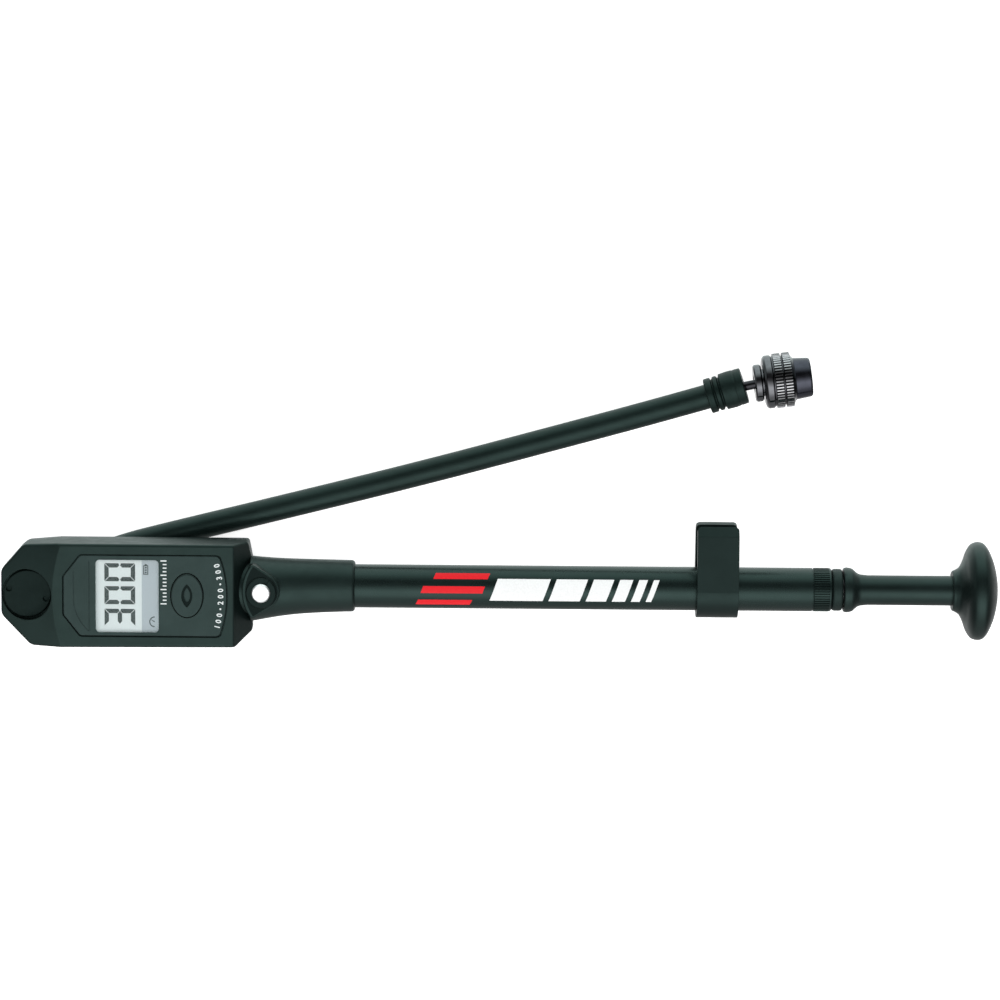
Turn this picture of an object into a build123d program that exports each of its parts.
from build123d import *
import math
import os

# Shock suspension pump, millimetres. The pump lies on its back with the display up.
# Origin: middle of the free barrel stretch, on the barrel's axis.
# +X points along the barrel to the knob, +Y to the hose side, +Z is the display's normal.

TABLE_Z = -15.8
RUN = 0.05                       # radial clearance of a running fit
GAP = 0.3                        # clearance between bodies that don't touch

# Barrel and plunger
BARREL_R = 7.0
BORE_R = 6.0
BARREL_START, BARREL_END = -78.5, 92.0
ROD_R = 4.0
ROD_BORE_R = 2.6
PISTON_START, PISTON_END = -72.0, -60.0
BUSHING_START = 78.0
CAP_END = 98.2
KNURL_COUNT = 54
BUMPER_R, BUMPER_LEN = 6.7, 3.6
SLEEVE_START, SHAFT_START, SLEEVE_END = 102.0, 110.0, 137.0
COLLAR_R, SHAFT_R = 7.25, 4.8
KNOB_R, KNOB_RIM_X, KNOB_END = 15.8, 145.4, 151.6

# Gauge head
HEAD_Y = -2.3                    # the head's own centreline lies a little below the barrel's axis
HEAD_LEFT, HEAD_RIGHT = -168.5, -88.0
HEAD_HALF = 17.0
FRONT_Z = 11.5
WALL = 1.8
BACK_Z = -7.0
FAIRING_START, FAIRING_END = -114.0, -88.5
SIDE_DRAFT = 1.5
RIDGE_X, RIDGE_R, RIDGE_SLOPE = -151.2, 50.0, 20.0

# Face panel, display and mode button
PANEL_Y = HEAD_Y + 0.15
PANEL_LEFT, PANEL_RIGHT, PANEL_BULGE = -148.0, -97.6, -95.2
PANEL_HALF, PANEL_CHAMFER_X, PANEL_FLAT_HALF = 13.3, -142.5, 6.2
PANEL_FLOOR_Z = 10.3
PANEL_GROOVE = 0.35
PANEL_GROOVE_X, GROOVE_DEPTH = -139.4, 0.15
LCD_X, LCD_W, LCD_H = -127.3, 20.2, 23.4
BUTTON_X, BUTTON_Y, BUTTON_RX, BUTTON_RY = -108.2, -1.9, 5.1, 7.0
BUTTON_TOP_Z = 12.1

# Swivel, bleed valve, battery
PIVOT_X, PIVOT_Y = -159.8, -2.5
DISC_R, DISC_TOP_Z = 7.7, 5.9
STEM_R = 3.5
BANJO_R, BANJO_TOP_Z, BANJO_BOTTOM_Z = 8.0, -7.3, -15.5
BLEED_X, BLEED_Y, BLEED_R, BLEED_COLLAR_R = -84.6, -0.9, 3.0, 4.9
BOSS_R, BOSS_TOP_Z, COLLAR_TOP_Z = 5.9, 11.3, 12.2
LIP_R = 14.1                     # arc of the boss's edge beside the head
BATTERY_X, BATTERY_R, BATTERY_COVER_R = -113.0, 10.0, 11.5
BATTERY_TOP_Z, BATTERY_THICK = -2.4, 3.2
BLOCK_BOTTOM_Z, BLOCK_TOP_Z = -2.3, 2.4
SPIGOT_R = 8.0                   # neck's stub inside the head
# Neck sections: x, y of the centre, radius. The neck bends towards the head's centreline.
NECK = [(-88.4, -1.05, 10.55), (-84.0, -0.85, 9.95), (-79.8, -0.6, 9.45), (-72.0, -0.25, 8.85),
        (-62.5, -0.05, 8.48), (-55.0, 0.0, 8.3)]

# Hose and chuck
HOSE_R = 4.0
HOSE_HEADING = 25.8              # degrees, where the ferrule leaves the banjo
FERRULE_START, FERRULE_END, FERRULE_R = 9.0, 18.0, 4.2
BANJO_PORT_Z = -11.5
HOSE_ROUTE = [
    (-134.0, 9.9, -11.5), (-114.6, 15.0, -11.6), (-75.9, 24.6, -11.75), (-32.5, 35.7, -11.72),
    (8.0, 46.9, -11.2), (40.0, 55.9, -9.9), (58.0, 61.3, -8.8),
]
BOOT_END = (69.7, 65.1, -7.9)
BOOT_R = 5.7
CHUCK_ORIGIN = (72.8, 65.75, -6.9)   # centre of the socket flange's rear face
CHUCK_HEADING = 7.4
BALL_DEPTH, BALL_R, POST_R = 2.8, 2.6, 1.5
THREAD_R = 3.85                  # tyre and shock valve thread, 7.7 mm across
NUT_R, NUT_START, NUT_END = 8.6, 2.9, 18.4
THREAD_START, RELIEF_R = 11.6, 4.3
KNURL_R = 8.85
NUT_KNURL_COUNT = 56

# Hose clip
CLIP_START, CLIP_END = 54.7, 68.0
CLIP_WALL = 2.2
CLIP_TIP_Y = 20.9


def cylinder_x(radius, start, end, y=0.0, z=0.0):
    """Solid cylinder along X."""
    return Pos((start + end) / 2, y, z) * Rot(0, 90, 0) * Cylinder(radius, end - start)


def cylinder_z(radius, bottom, top, x, y):
    """Solid cylinder along Z."""
    return Pos(x, y, (bottom + top) / 2) * Cylinder(radius, top - bottom)


def block(x0, x1, y0, y1, z0, z1):
    """Axis-aligned box between two corners."""
    return Pos((x0 + x1) / 2, (y0 + y1) / 2, (z0 + z1) / 2) * Box(x1 - x0, y1 - y0, z1 - z0)


def turned_x(*edges):
    """Solid of revolution about X from a profile in the XY plane."""
    return revolve(make_face(edges), Axis.X, 360)


# ---------------------------------------------------------------- gauge head

def head_outline(inset=0.0):
    """Rounded outline of the head at the parting plane."""
    half = HEAD_HALF
    left = [(HEAD_LEFT, 7.4), (-160.9, half - 0.9), (-150.0, half)]
    right = [(HEAD_RIGHT - 1.2, half), (HEAD_RIGHT, 10.6), (HEAD_RIGHT, -12.2), (-93.0, -half + 0.35)]
    lower_left = [(-150.0, -half), (-158.6, -half + 0.2), (HEAD_LEFT, -7.2)]
    clockwise = [*left, *right, *lower_left]
    face = make_face(Polyline(*reversed(clockwise), close=True))
    face = fillet([v for v in face.vertices() if v.X < -157], 3.5)
    face = fillet([v for v in face.vertices() if v.X > -94], 1.3)
    if inset:
        face = offset(face, -inset)
    return Pos(0, HEAD_Y, 0) * face


def ridge_cone(lowered=0.0):
    """Cone whose side is the sloping surface left of the display platform."""
    centre_x = RIDGE_X + RIDGE_R
    depth = 24.0
    spread = depth / math.tan(math.radians(RIDGE_SLOPE))
    cone = Cone(RIDGE_R + spread, RIDGE_R, depth)
    return Pos(centre_x, HEAD_Y, FRONT_Z - lowered - depth / 2) * cone


def right_wall_cut():
    """Wedge that leans the head's right end wall back towards the front."""
    slope = [(HEAD_RIGHT + 0.6, 0.0), (HEAD_RIGHT - 5.4, FRONT_Z), (HEAD_RIGHT - 6.4, FRONT_Z + 2.1),
             (HEAD_RIGHT + 9.0, FRONT_Z + 2.1), (HEAD_RIGHT + 9.0, 0.0)]
    wedge = extrude(Plane.XZ * make_face(Polyline(*slope, close=True)), 30, both=True)
    return wedge


def front_form():
    """Outer form of the front shell before it is hollowed."""
    body = extrude(head_outline(), FRONT_Z, taper=SIDE_DRAFT)
    body = body & ridge_cone()
    body = body - right_wall_cut()
    rim = [e for e in body.edges() if e.center().Z > 3.0 and e.bounding_box().size.Z < 7.5]
    return fillet(rim, 0.9)


def rear_form():
    """Outer form of the rear shell: flat, with a fairing that widens into the neck."""
    body = extrude(head_outline(), BACK_Z, taper=SIDE_DRAFT)
    body = fillet(body.faces().sort_by(Axis.Z)[0].edges(), 1.5)
    length = FAIRING_END - FAIRING_START
    neck_y, neck_r = NECK[0][1:]
    cone = Pos(FAIRING_START + length / 2, neck_y, 0) * Rot(0, 90, 0) * Cone(-BACK_Z - 0.2, neck_r, length)
    return body + (cone & block(FAIRING_START, FAIRING_END, -12, 12, -12, -3))


def screw_places():
    """Centres of the four case screws."""
    return [(x, HEAD_Y + side * 13.4) for x in (-149.5, -95.4) for side in (-1, 1)]


def swivel_hole(radius, bottom, top):
    """Round hole at the swivel's axis."""
    return cylinder_z(radius, bottom, top, PIVOT_X, PIVOT_Y)


def panel_outline(inset=0.0):
    """Face panel: chamfered left corners and a bulged right edge."""
    half = PANEL_HALF - inset
    left, chamfer_x = PANEL_LEFT + inset, PANEL_CHAMFER_X + inset * 0.5
    right, bulge = PANEL_RIGHT - inset, PANEL_BULGE - inset
    flat = PANEL_FLAT_HALF
    edges = Polyline((right, half), (chamfer_x, half), (left, flat), (left, -flat),
                     (chamfer_x, -half), (right, -half))
    face = make_face([*edges.edges(), ThreePointArc((right, -half), (bulge, 0), (right, half))])
    face = fillet(face.vertices(), 1.8)
    return Pos(0, PANEL_Y, 0) * face


def oval(grow=0.0):
    """Mode button outline."""
    return Pos(BUTTON_X, BUTTON_Y, 0) * Ellipse(BUTTON_RX + grow, BUTTON_RY + grow)


def eye(half_width, half_height):
    """Pointed oval where two equal circles overlap, on the mode button's centre."""
    reach = half_height ** 2 / half_width
    radius, shift = (reach + half_width) / 2, (reach - half_width) / 2
    left, right = [Pos(BUTTON_X + side * shift, BUTTON_Y) * Circle(radius) for side in (-1, 1)]
    return left & right


def display_window(grow=0.0):
    """Display opening outline."""
    return Pos(LCD_X, HEAD_Y, 0) * RectangleRounded(LCD_W + 2 * grow, LCD_H + 2 * grow, 1.3 + grow)


def front_housing():
    form = front_form()
    inner = extrude(head_outline(WALL), FRONT_Z - WALL - 0.1, taper=SIDE_DRAFT) & ridge_cone(WALL + 0.6)
    shell = form - (inner & block(HEAD_LEFT, HEAD_RIGHT - 7.0, -30, 30, -1, FRONT_Z))
    posts = [cylinder_z(2.4, 0, FRONT_Z - WALL, x, y) for x, y in screw_places()]
    seat = cylinder_z(DISC_R + 2.0, BLOCK_TOP_Z, DISC_TOP_Z - 2.3, PIVOT_X, PIVOT_Y)
    shell += (Part() + [*posts, seat]) & form
    shell -= Pos(0, 0, PANEL_FLOOR_Z) * extrude(panel_outline(), 5)
    shell -= extrude(oval(0.6), 20)
    shell -= extrude(display_window(0.4), 20)
    shell -= swivel_hole(DISC_R + 0.55, DISC_TOP_Z - 2.3, 20)
    shell -= swivel_hole(STEM_R, -1, 20)
    shell -= cylinder_x(SPIGOT_R, HEAD_RIGHT - 12, HEAD_RIGHT + 2)
    for x, y in screw_places():
        shell -= cylinder_z(1.0, -1, 7.2, x, y)
    return shell


def rear_housing():
    inner = extrude(head_outline(WALL), BACK_Z + WALL, taper=SIDE_DRAFT)
    shell = rear_form() - (inner & block(HEAD_LEFT, HEAD_RIGHT - 3.0, -30, 30, -20, 1))
    shell += cylinder_z(BATTERY_R + 2.5, BACK_Z + 1, BATTERY_TOP_Z - 0.1, BATTERY_X, HEAD_Y)
    shell += cylinder_z(BATTERY_COVER_R + 2.0, BACK_Z + 1, BACK_Z + 2.6, BATTERY_X, HEAD_Y)
    shell -= cylinder_z(BATTERY_COVER_R + GAP, -20, BACK_Z + 1.4, BATTERY_X, HEAD_Y)
    shell -= cylinder_z(BATTERY_R + GAP, -20, 0, BATTERY_X, HEAD_Y)
    shell -= swivel_hole(STEM_R, -20, 1)
    shell += Part() + [cylinder_z(2.7, BACK_Z + 0.5, 0, x, y) for x, y in screw_places()]
    shell -= cylinder_x(SPIGOT_R, HEAD_RIGHT - 12, HEAD_RIGHT + 2)
    for x, y in screw_places():
        shell -= cylinder_z(1.05, -20, 1, x, y)
        shell -= cylinder_z(2.1, -20, BACK_Z + 2.0, x, y)
    return shell


def case_screws():
    """Four countersunk-head screws with a cross recess, put in from the rear."""
    screws = []
    for x, y in screw_places():
        seat_z = BACK_Z + 2.0
        screw = cylinder_z(1.9, seat_z - 1.5, seat_z, x, y) + cylinder_z(1.0, seat_z, 6.8, x, y)
        recess = block(x - 1.1, x + 1.1, y - 0.22, y + 0.22, seat_z - 2, seat_z - 0.7)
        recess += block(x - 0.22, x + 0.22, y - 1.1, y + 1.1, seat_z - 2, seat_z - 0.7)
        screws.append(screw - recess)
    return Compound(children=[s.solid() for s in screws])


def face_panel():
    panel = Pos(0, 0, PANEL_FLOOR_Z) * extrude(panel_outline(PANEL_GROOVE), FRONT_Z - PANEL_FLOOR_Z + 0.05)
    panel -= extrude(display_window(), 20)
    panel -= extrude(oval(0.25), 20)
    panel = chamfer(panel.faces().sort_by(Axis.Z)[-1].outer_wire().edges(), 0.2)
    return panel - Pos(0, PANEL_Y, FRONT_Z + 0.05 - GROOVE_DEPTH) * extrude(panel_grooves(), 1)


def panel_grooves():
    """Fine decorative lines left of the display: one straight, one curving in at its end."""
    width, outer_r = 0.25, 14.0
    centre_x, centre_y = PANEL_GROOVE_X + 8.9, -0.8
    ring = Circle(outer_r) - Circle(outer_r - width)
    swept = Pos(centre_x, centre_y) * ring & Pos(PANEL_GROOVE_X - 3.1, -6.4) * Rectangle(6.0, 12.0)
    lines = [Pos(PANEL_GROOVE_X, 0.0) * Rectangle(width, 22.6),
             Pos(centre_x - outer_r + width / 2, 3.6) * Rectangle(width, 8.4)]
    return swept + lines


def lcd_window():
    return Pos(0, 0, 10.75) * extrude(display_window(-0.02), 0.6)


def lcd_module():
    return Pos(0, 0, 6.2) * extrude(display_window(-0.02), 4.35)


def circuit_board():
    board = block(-145.5, -98.6, HEAD_Y - 12.8, HEAD_Y + 12.8, 5.0, 6.0)
    for x, y in screw_places():
        board -= cylinder_z(2.8, 4, 7, x, y)
    return board


def push_switch():
    """Tact switch under the mode button."""
    body = block(BUTTON_X - 2.6, BUTTON_X + 2.6, HEAD_Y - 2.2, HEAD_Y + 3.0, 6.0, 6.9)
    return body + cylinder_z(1.4, 6.9, 7.3, BUTTON_X, BUTTON_Y)


def pressure_sensor():
    can = cylinder_z(3.2, BLOCK_TOP_Z, 4.4, -132.0, 0.0)
    return can + cylinder_z(2.4, 4.4, 5.0, -132.0, 0.0)


def coin_cell():
    cell = cylinder_z(BATTERY_R, BATTERY_TOP_Z - BATTERY_THICK, BATTERY_TOP_Z, BATTERY_X, HEAD_Y)
    return chamfer(cell.edges().filter_by(GeomType.CIRCLE).sort_by(Axis.Z)[:1], 0.5)


def battery_cover():
    """Quarter-turn cover, flush with the rear face, with a coin slot."""
    cover = cylinder_z(BATTERY_COVER_R, BACK_Z, BACK_Z + 1.3, BATTERY_X, HEAD_Y)
    cover = chamfer(cover.edges().filter_by(GeomType.CIRCLE).sort_by(Axis.Z)[:1], 0.3)
    cover -= Pos(BATTERY_X, HEAD_Y, BACK_Z) * Box(13.0, 2.2, 1.4)
    return cover - Pos(BATTERY_X, HEAD_Y, BACK_Z + 0.75) * Torus(BATTERY_COVER_R, 0.4)


def battery_seal():
    ring = Torus(BATTERY_COVER_R, 0.37) & Cylinder(BATTERY_COVER_R + 0.2, 2)
    return Pos(BATTERY_X, HEAD_Y, BACK_Z + 0.75) * ring


# ---------------------------------------------------------------- air path

def air_block():
    """Machined block that joins barrel, sensor, bleed valve and swivel."""
    body = block(PIVOT_X, -96.0, -4.6, 4.0, BLOCK_BOTTOM_Z, BLOCK_TOP_Z)
    body += swivel_hole(6.2, BLOCK_BOTTOM_Z, BLOCK_TOP_Z)
    body += cylinder_x(BORE_R, -96.0, -74.0)
    body -= swivel_hole(STEM_R, -10, 10)
    body -= cylinder_x(1.2, PIVOT_X, -70.0)
    body -= cylinder_x(3.2, -82.0, -70.0)
    body -= cylinder_z(0.6, 0, 10, -132.0, 0.0)
    return body - cylinder_z(0.6, 0, 10, BLEED_X, BLEED_Y)


def check_valve_seat():
    return cylinder_x(3.2, -75.5, -74.0) - cylinder_x(1.3, -76, -73)


def check_valve():
    disc = cylinder_x(2.6, -77.2, -75.5)
    return disc + cylinder_x(1.0, -80.0, -77.2)


def coil(radius, wire_r, height, turns):
    """Open compression spring along +Z from the origin."""
    path = Helix(pitch=height / turns, height=height, radius=radius)
    section = Plane(origin=path @ 0, z_dir=path % 0) * Circle(wire_r)
    return sweep(section, path=path, is_frenet=True)


def check_valve_spring():
    return Pos(-81.6, 0, 0) * Rot(0, 90, 0) * coil(2.1, 0.25, 3.9, 4)


def neck_sleeve():
    """Moulded neck: flares from the barrel into the head and carries the bleed boss."""
    sections = [Plane(origin=(x, y, 0), z_dir=(1, 0, 0)) * Circle(r) for x, y, r in NECK]
    neck = loft(sections)
    neck = fillet(neck.faces().sort_by(Axis.X)[-1].edges(), 1.1)
    neck += cylinder_x(SPIGOT_R + 0.6, -94.5, NECK[0][0], NECK[0][1])
    neck += bleed_boss()
    neck -= front_form() + rear_form()
    neck += cylinder_x(SPIGOT_R, HEAD_RIGHT - 7.8, HEAD_RIGHT + 1.0)
    neck -= cylinder_x(BORE_R, -100, BARREL_START)
    neck -= cylinder_x(BARREL_R, BARREL_START, -50)
    neck -= cylinder_z(BLEED_COLLAR_R, 6.4, 30, BLEED_X, BLEED_Y)
    return neck


def bleed_boss():
    """Pick-shaped boss: a round end, two blunt corners and an arc beside the head."""
    corner_x, corner_y = -3.0, 8.9
    reach = math.hypot(corner_x, corner_y)
    turn = math.atan2(corner_y, corner_x) - math.acos(BOSS_R / reach)
    touch = (BOSS_R * math.cos(turn), BOSS_R * math.sin(turn))
    lip_x = corner_x + math.sqrt(LIP_R ** 2 - corner_y ** 2) - LIP_R
    upper, lower = (corner_x, corner_y), (corner_x, -corner_y)
    edges = [Line(upper, touch), ThreePointArc(touch, (BOSS_R, 0), (touch[0], -touch[1])),
             Line((touch[0], -touch[1]), lower), ThreePointArc(lower, (lip_x, 0), upper)]
    face = make_face([e.edge() for e in edges])
    face = fillet([v for v in face.vertices() if v.X < -2], 1.3)
    boss = Pos(BLEED_X, BLEED_Y + 0.4, 2.0) * extrude(face, BOSS_TOP_Z - 2.0)
    return chamfer(boss.faces().sort_by(Axis.Z)[-1].edges(), 0.35)


def bleed_collar():
    collar = cylinder_z(BLEED_COLLAR_R, 6.4, COLLAR_TOP_Z, BLEED_X, BLEED_Y)
    collar = chamfer(collar.edges().filter_by(GeomType.CIRCLE).sort_by(Axis.Z)[-1:], 0.3)
    collar -= cylinder_z(BLEED_R + RUN, 6.9, 20, BLEED_X, BLEED_Y)
    collar -= cylinder_z(0.6, 5, 20, BLEED_X, BLEED_Y)
    notch = Pos(BLEED_X, BLEED_Y, COLLAR_TOP_Z - 0.3) * Rot(0, 0, 65) * Pos(4.0, 0, 0) * Box(2.6, 1.2, 1.0)
    return collar - notch


def bleed_button():
    button = cylinder_z(BLEED_R, 8.6, 12.9, BLEED_X, BLEED_Y)
    return chamfer(button.edges().filter_by(GeomType.CIRCLE).sort_by(Axis.Z)[-1:], 0.35)


def bleed_spring():
    return Pos(BLEED_X, BLEED_Y, 7.15) * coil(1.9, 0.2, 1.2, 2)


def mode_button():
    button = Pos(0, 0, 8.0) * extrude(oval(), BUTTON_TOP_Z - 8.0)
    button = fillet(button.faces().sort_by(Axis.Z)[-1].edges(), 0.4)
    button -= Pos(0, 0, BUTTON_TOP_Z - 0.45) * extrude(eye(1.75, 3.75), 2)
    return button - Pos(0, 0, BUTTON_TOP_Z - 1.1) * extrude(eye(1.0, 2.45), 2)


# ---------------------------------------------------------------- barrel and plunger

def barrel_tube():
    return cylinder_x(BARREL_R, BARREL_START, BARREL_END) - cylinder_x(BORE_R, -100, 100)


def knurl_profile(count, outer, root):
    """Straight-knurled ring outline with trapezoidal teeth, centred on the origin."""
    points = []
    step = 2 * math.pi / count
    for tooth in range(count):
        for share, radius in ((0.0, root), (0.22, root), (0.42, outer), (0.80, outer)):
            angle = (tooth + share) * step
            points.append((radius * math.cos(angle), radius * math.sin(angle)))
    return make_face(Polyline(*points, close=True))


def end_cap():
    """Knurled screw cap that closes the barrel around the rod."""
    outline = knurl_profile(KNURL_COUNT, BARREL_R, BARREL_R - 0.28)
    knurled = Plane(origin=(BARREL_END + 0.4, 0, 0), z_dir=(1, 0, 0)) * outline
    cap = extrude(knurled, CAP_END - BARREL_END - 1.2)
    cap += cylinder_x(6.75, BARREL_END, BARREL_END + 0.4)
    rim = cylinder_x(6.95, CAP_END - 0.8, CAP_END)
    cap += chamfer(rim.edges().filter_by(GeomType.CIRCLE).sort_by(Axis.X)[-1:], 0.5)
    cap += cylinder_x(BORE_R, 86.0, BARREL_END)
    return cap - cylinder_x(ROD_R + GAP, 80, 100)


def rod_bushing():
    return cylinder_x(BORE_R, BUSHING_START, 86.0) - cylinder_x(ROD_R + RUN, 70, 90)


def bumper_ring():
    ring = cylinder_x(BUMPER_R, CAP_END, CAP_END + BUMPER_LEN) - cylinder_x(ROD_R + GAP, 90, 110)
    outer = [e for e in ring.edges().filter_by(GeomType.CIRCLE) if e.radius > BUMPER_R - 0.1]
    return fillet(outer, 1.7)


def piston_rod():
    rod = cylinder_x(ROD_R, PISTON_END, KNOB_END - 6) - cylinder_x(ROD_BORE_R, PISTON_END - 1, KNOB_END - 12)
    return chamfer(rod.edges().filter_by(GeomType.CIRCLE).sort_by(Axis.X)[-1:], 0.5)


def piston():
    head = cylinder_x(BORE_R - RUN, PISTON_START, PISTON_END)
    head -= cylinder_x(7, -68.0, -65.6) - cylinder_x(4.9, -69, -65)
    return head


def piston_seal():
    ring = Torus(5.1, 1.0) & Cylinder(BORE_R - RUN + 0.02, 3)
    return Pos(-66.8, 0, 0) * Rot(0, 90, 0) * ring - cylinder_x(4.9, -70, -60)


def handle_sleeve():
    """Collar that meets the bumper, flaring down to the slim shaft."""
    x0, top = SLEEVE_START, COLLAR_R
    waist = [(x0 + 1.2, top), (x0 + 2.7, top - 0.45), (x0 + 4.1, 5.85), (x0 + 5.4, 5.15),
             (SHAFT_START, SHAFT_R)]
    profile = [
        Polyline((SLEEVE_END, SHAFT_R), (SLEEVE_END, ROD_R), (x0, ROD_R), (x0, top - 1.1)),
        ThreePointArc((x0, top - 1.1), (x0 + 0.35, top - 0.3), waist[0]),
        Spline(*waist, tangents=[(1, 0), (1, 0)]),
        Polyline((SHAFT_START, SHAFT_R), (SLEEVE_END, SHAFT_R)),
    ]
    return turned_x(*[e for wire in profile for e in wire.edges()])


def knob():
    """Mushroom knob turned from one outline."""
    x0 = SLEEVE_END
    dome_x, dome_r = KNOB_RIM_X + 2.6, 14.2
    dome = ThreePointArc((dome_x, dome_r), (KNOB_END, 0), (dome_x, -dome_r))
    profile = [
        Polyline((x0, 0), (x0, 6.2), (x0 + 0.3, 6.5), (x0 + 0.9, 6.5)),
        ThreePointArc((x0 + 0.9, 6.5), (x0 + 3.6, 9.5), (x0 + 4.9, 13.2)),
        ThreePointArc((x0 + 4.9, 13.2), (KNOB_RIM_X - 1.9, 15.25), (KNOB_RIM_X, KNOB_R)),
        ThreePointArc((KNOB_RIM_X, KNOB_R), (KNOB_RIM_X + 1.6, 15.45), (dome_x, dome_r)),
        dome.trim(0, 0.5),
        Polyline((KNOB_END, 0), (x0, 0)),
    ]
    body = turned_x(*[e for wire in profile for e in wire.edges()])
    return body - cylinder_x(ROD_R, x0 - 1, KNOB_END - 6)


def hose_clip():
    """Open clip: a strap round the barrel with two arms that hold the parked hose."""
    inner = BARREL_R + RUN
    outer = inner + CLIP_WALL
    lip = 3.7
    bend_y, lean = CLIP_TIP_Y - 3.0, 1.1
    arms = [
        Polyline((0, outer), (bend_y, outer - lean), (CLIP_TIP_Y, outer - 3.2), (CLIP_TIP_Y - 0.6, lip),
                 (bend_y - 1.4, inner - lean), (0, inner)),
        ThreePointArc((0, inner), (-inner, 0), (0, -inner)),
        Polyline((0, -inner), (bend_y - 1.4, lean - inner), (CLIP_TIP_Y - 0.6, -lip),
                 (CLIP_TIP_Y, 3.2 - outer), (bend_y, lean - outer), (0, -outer)),
        ThreePointArc((0, -outer), (-outer, 0), (0, outer)),
    ]
    face = make_face([e for wire in arms for e in wire.edges()])
    clip = Pos(CLIP_START, 0, 0) * extrude(Plane.YZ * face, CLIP_END - CLIP_START)
    corners = [e for e in clip.edges() if e.center().Y > bend_y + 1 and e.bounding_box().size.X < 0.1
               and e.bounding_box().size.Y < 1.0]
    return fillet(corners, 1.4)


# ---------------------------------------------------------------- swivel and hose

def swivel_bolt():
    """Hollow bolt that holds the banjo behind the head."""
    bolt = swivel_hole(STEM_R, -14.2, 2.6) + swivel_hole(5.4, TABLE_Z, -14.2)
    bolt = chamfer(bolt.edges().filter_by(GeomType.CIRCLE).sort_by(Axis.Z)[:1], 0.4)
    bolt -= swivel_hole(1.3, -13.0, 10)
    for z in (-8.4, -12.9):
        bolt -= swivel_hole(5, z - 0.45, z + 0.45) - swivel_hole(2.75, z - 1, z + 1)
    return bolt - Pos(PIVOT_X, PIVOT_Y, BANJO_PORT_Z) * Rot(0, 90, 0) * Cylinder(0.9, 2 * STEM_R + 1)


def swivel_seals():
    """Two O-rings on the bolt, above and below the banjo's port."""
    rings = [Pos(PIVOT_X, PIVOT_Y, z) * Torus(3.12, 0.37) for z in (-8.4, -12.9)]
    return Compound(children=[r.solid() for r in rings])


def swivel_cap():
    """Round cap nut with two spanner holes, seen beside the display."""
    cap = swivel_hole(DISC_R, DISC_TOP_Z - 2.1, DISC_TOP_Z) + swivel_hole(STEM_R, 2.6, DISC_TOP_Z - 2.1)
    cap = fillet(cap.edges().filter_by(GeomType.CIRCLE).sort_by(Axis.Z)[-1:], 0.5)
    for turn in (165, 345):
        hole = Rot(0, 0, turn) * Pos(6.1, 0, 0) * Cylinder(0.95, 2.0)
        cap -= Pos(PIVOT_X, PIVOT_Y, DISC_TOP_Z) * hole
    return cap


def heading(degrees, rise=0.0):
    """Unit direction in the XY plane, with an optional rise."""
    flat = math.radians(degrees)
    return Vector(math.cos(flat), math.sin(flat), rise).normalized()


def rod_along(start, direction, length, radius):
    """Cylinder from a start point along a direction."""
    return extrude(Plane(origin=start, z_dir=direction) * Circle(radius), length)


PORT = Vector(PIVOT_X, PIVOT_Y, BANJO_PORT_Z)
PORT_DIR = heading(HOSE_HEADING)


def banjo():
    body = swivel_hole(BANJO_R, BANJO_BOTTOM_Z, BANJO_TOP_Z)
    body = fillet(body.edges().filter_by(GeomType.CIRCLE), 1.2)
    body += rod_along(PORT, PORT_DIR, FERRULE_START, 3.4)
    body -= swivel_hole(STEM_R + RUN, -30, 0)
    body -= swivel_hole(5.4 + GAP, -30, -14.0)
    channel = rod_along(PORT + PORT_DIR * 2.0, PORT_DIR, 20, 1.0)
    return body - channel


def ferrule():
    ring = rod_along(PORT + PORT_DIR * FERRULE_START, PORT_DIR, FERRULE_END - FERRULE_START, FERRULE_R)
    ring = fillet(ring.edges().filter_by(GeomType.CIRCLE), 0.6)
    return ring - rod_along(PORT, PORT_DIR, 40, 1.0)


def hose():
    """Rubber hose: straight runs joined by arcs as large as the runs allow."""
    points = [PORT + PORT_DIR * FERRULE_END] + [Vector(*p) for p in HOSE_ROUTE]
    radii = []
    for before, here, after in zip(points, points[1:], points[2:]):
        turn = math.radians((here - before).get_angle(after - here))
        shorter = min((here - before).length, (after - here).length)
        radii.append(0.45 * shorter / math.tan(turn / 2))
    path = FilletPolyline(*points, radius=radii)
    section = Plane(origin=path @ 0, z_dir=path % 0) * Circle(HOSE_R)
    tube = sweep(section, path=path)
    print("hose radii", [round(r) for r in radii], "length", round(path.length, 1),
          "volume ratio", round(tube.volume / (math.pi * HOSE_R ** 2 * path.length), 4))
    return tube


BOOT_START = Vector(*HOSE_ROUTE[-1])
BOOT_DIR = (Vector(*BOOT_END) - BOOT_START).normalized()
BOOT_LEN = (Vector(*BOOT_END) - BOOT_START).length
CHUCK_DIR = heading(CHUCK_HEADING)
CHUCK_AT = Vector(*CHUCK_ORIGIN)
BALL = CHUCK_AT + CHUCK_DIR * BALL_DEPTH
POST_START = BOOT_START + BOOT_DIR * (BOOT_LEN - 4.0)
POST_DIR = (BALL - POST_START).normalized()


def turned_along(start, direction, edges):
    """Solid of revolution whose profile's X runs from start along direction."""
    side = Vector(0, 0, 1)
    plane = Plane(origin=start, x_dir=direction, z_dir=side - direction * side.dot(direction))
    return plane * revolve(make_face(edges), Axis.X, 360)


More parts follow.
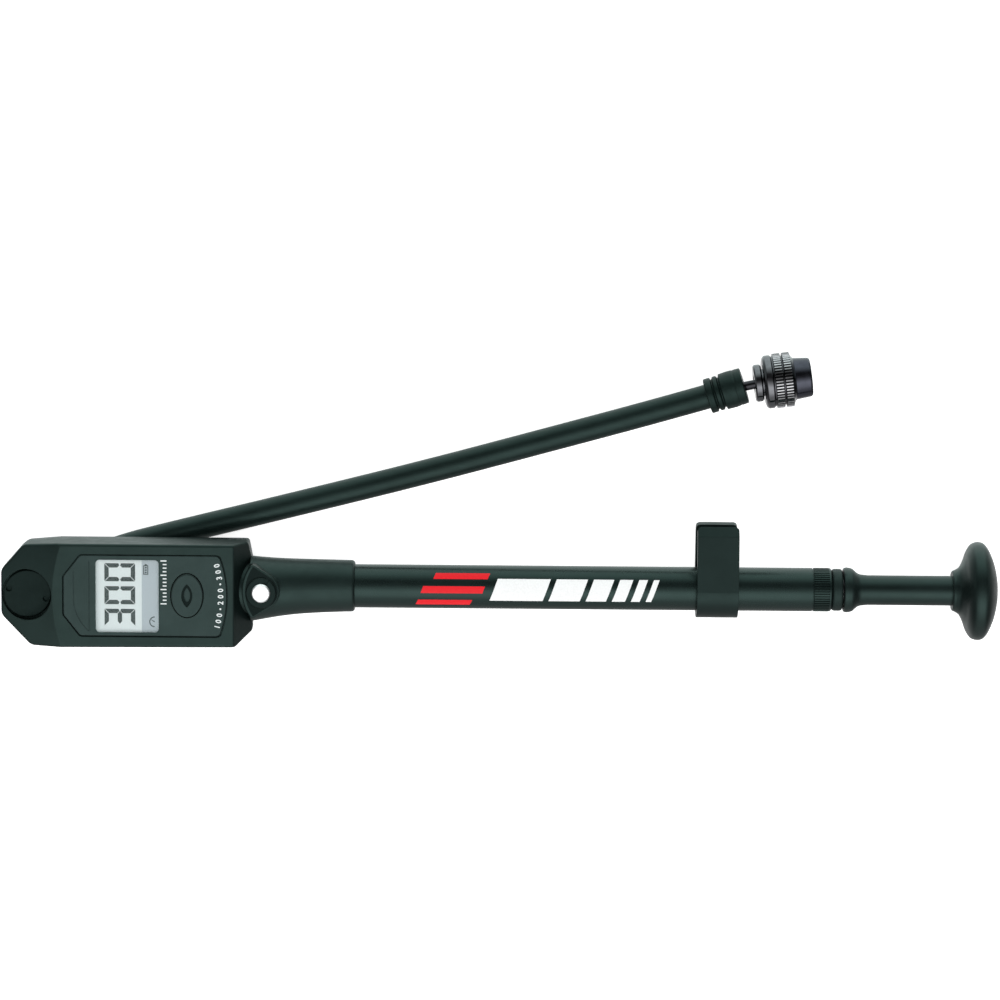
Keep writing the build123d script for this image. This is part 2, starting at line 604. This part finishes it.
def boot():
    """Strain relief with two collars at the hose and a rounded barrel shape."""
    low, full = BOOT_R - 0.75, BOOT_R
    end = BOOT_LEN
    outline = Polyline((0, 0), (0, full - 0.4), (0.3, full), (2.0, full), (2.2, low), (2.8, low),
                       (3.0, full - 0.1), (4.3, full - 0.1), (4.5, low), (4.9, low), (5.1, full + 0.15))
    crown = ThreePointArc((5.1, full + 0.15), (8.6, full + 0.3), (end - 0.4, full + 0.2))
    close = Polyline((end - 0.4, full + 0.2), (end, full - 0.3), (end, 0), (0, 0))
    body = turned_along(BOOT_START, BOOT_DIR, [*outline.edges(), crown, *close.edges()])
    return body - rod_along(POST_START, POST_DIR, 40, POST_R)


def ball_post():
    post = rod_along(POST_START, POST_DIR, (BALL - POST_START).length, POST_R)
    return post + Pos(*BALL) * Sphere(BALL_R)


def chuck_ring(radius, start, end):
    """Disc on the chuck's axis, by distance from the socket's rear face."""
    return rod_along(CHUCK_AT + CHUCK_DIR * start, CHUCK_DIR, end - start, radius)


def chuck_socket():
    """Socket that turns on the ball and holds the nut between two flanges."""
    cavity, pin_r = BALL_R + RUN, 0.9
    mouth_x, rear_mouth_r = 1.4, 2.95
    mouth_r = math.sqrt(cavity ** 2 - (BALL_DEPTH - mouth_x) ** 2)
    floor_x = BALL_DEPTH + math.sqrt(cavity ** 2 - pin_r ** 2)
    flange_r = 6.0
    outside = Polyline((mouth_x, mouth_r), (0, rear_mouth_r), (0, flange_r - 0.5), (0.5, flange_r),
                       (2.1, flange_r), (2.6, flange_r - 0.5), (2.6, 4.4), (5.8, 4.4), (5.8, 5.0),
                       (9.9, 5.0), (9.9, pin_r), (floor_x, pin_r))
    bowl = ThreePointArc((floor_x, pin_r), (BALL_DEPTH, cavity), (mouth_x, mouth_r))
    return turned_along(CHUCK_AT, CHUCK_DIR, [*outside.edges(), bowl])


def valve_seal():
    return chuck_ring(3.7, 9.9, THREAD_START - 2 * GAP) - chuck_ring(1.5, 9, 12)


def valve_pusher():
    pin = chuck_ring(0.9, 7.0, THREAD_START - 3 * GAP)
    return pin + chuck_ring(1.5, 9.9, 10.5)


def chuck_nut():
    """Knurled nut that screws onto the valve."""
    shape = [
        Polyline((NUT_START, 0), (NUT_START, 6.8)),
        ThreePointArc((NUT_START, 6.8), (3.2, 7.9), (4.1, NUT_R)),
        Polyline((4.1, NUT_R), (5.8, NUT_R), (6.4, 7.8), (12.1, 7.8), (13.1, 6.75), (17.9, 6.3),
                 (NUT_END, 5.9), (NUT_END, 0), (NUT_START, 0)),
    ]
    nut = turned_along(CHUCK_AT, CHUCK_DIR, [e for wire in shape for e in wire.edges()])
    for start, end in ((6.7, 8.9), (9.8, 12.0)):
        plane = Plane(origin=CHUCK_AT + CHUCK_DIR * start, z_dir=CHUCK_DIR)
        nut += extrude(plane * knurl_profile(NUT_KNURL_COUNT, KNURL_R, KNURL_R - 0.65), end - start)
    nut -= chuck_ring(4.4 + 0.08, 0, 6)
    nut -= chuck_ring(5.0 + RUN, 5.5, 10.2)
    nut -= chuck_ring(RELIEF_R, 10, THREAD_START)
    return nut - chuck_ring(THREAD_R, 11, NUT_END + 1)


PARTS = {
    "front_housing": front_housing, "rear_housing": rear_housing, "case_screws": case_screws,
    "face_panel": face_panel, "lcd_window": lcd_window, "lcd_module": lcd_module,
    "circuit_board": circuit_board, "push_switch": push_switch, "pressure_sensor": pressure_sensor,
    "coin_cell": coin_cell, "battery_cover": battery_cover, "battery_seal": battery_seal,
    "air_block": air_block, "check_valve_seat": check_valve_seat, "check_valve": check_valve,
    "check_valve_spring": check_valve_spring, "neck_sleeve": neck_sleeve,
    "bleed_collar": bleed_collar, "bleed_button": bleed_button, "bleed_spring": bleed_spring,
    "mode_button": mode_button, "barrel_tube": barrel_tube, "end_cap": end_cap,
    "rod_bushing": rod_bushing, "bumper_ring": bumper_ring, "piston_rod": piston_rod,
    "piston": piston, "piston_seal": piston_seal, "handle_sleeve": handle_sleeve, "knob": knob,
    "hose_clip": hose_clip, "swivel_bolt": swivel_bolt, "swivel_seals": swivel_seals,
    "swivel_cap": swivel_cap, "banjo": banjo, "ferrule": ferrule, "hose": hose, "boot": boot,
    "ball_post": ball_post, "chuck_socket": chuck_socket, "valve_seal": valve_seal,
    "valve_pusher": valve_pusher, "chuck_nut": chuck_nut,
}

os.makedirs("parts", exist_ok=True)
for name, make in PARTS.items():
    export_step(make(), f"parts/{name}.step")
